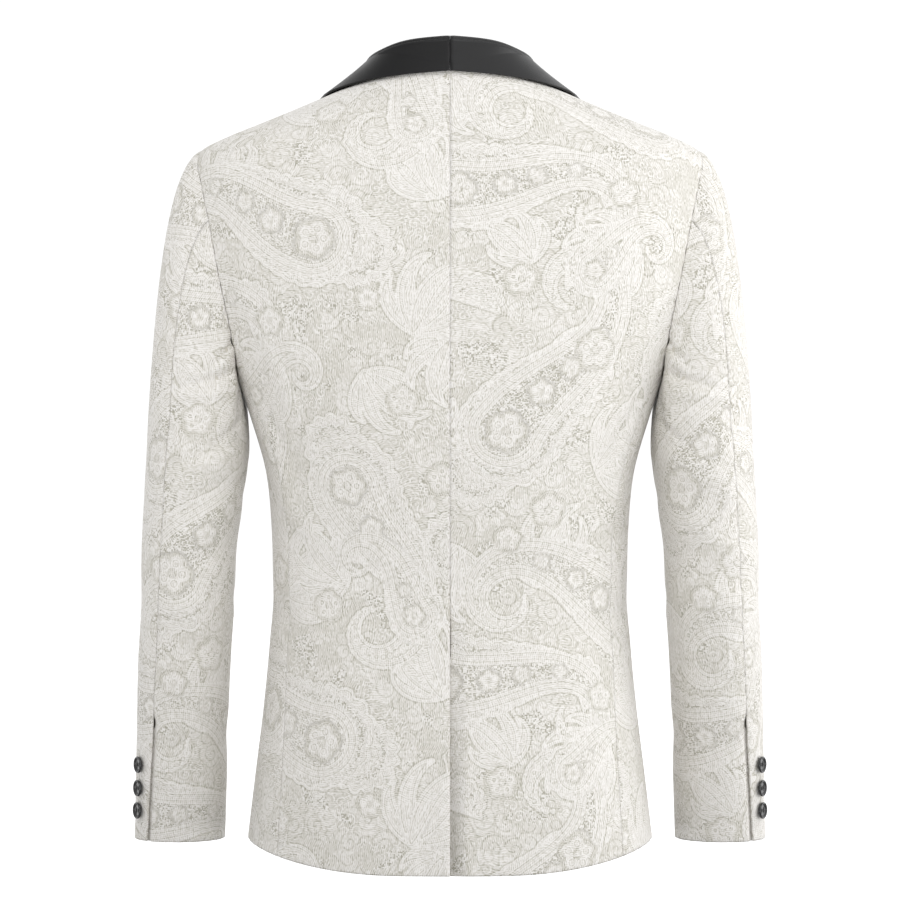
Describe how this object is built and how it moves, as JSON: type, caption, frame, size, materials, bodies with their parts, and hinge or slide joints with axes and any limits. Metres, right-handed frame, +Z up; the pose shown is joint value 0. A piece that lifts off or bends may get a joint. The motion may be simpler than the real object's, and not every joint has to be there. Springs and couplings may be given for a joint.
{
  "type": "tuxedo jacket",
  "caption": "Hollow single-breasted tuxedo jacket in paisley jacquard with a black satin shawl collar, centre vent and black cuff buttons.",
  "frame": {"origin": "on the mid-line, level with the nape, above the middle of the shoulders", "axes": "+Z up, the wearer faces -Y, +X is the wearer's left"},
  "size_m": [0.588, 0.2675, 0.7506],
  "materials": {
    "jacquard": "off-white jacquard with raised paisleys, flowers and scrolls, soft sheen",
    "satin": "black satin with a broad soft sheen",
    "button": "polished black"
  },
  "bodies": {
    "root": {"back_left": "jacquard", "back_right": "jacquard", "side_left": "jacquard", "side_right": "jacquard", "front_left": "jacquard", "front_right": "jacquard", "topsleeve_left": "jacquard", "topsleeve_right": "jacquard", "undersleeve_left": "jacquard", "undersleeve_right": "jacquard", "shawl_left": "satin", "shawl_right": "satin", "cuff_button_left_1": "button", "cuff_button_left_2": "button", "cuff_button_left_3": "button", "cuff_button_right_1": "button", "cuff_button_right_2": "button", "cuff_button_right_3": "button", "front_button": "button"}
  },
  "joints": []
}
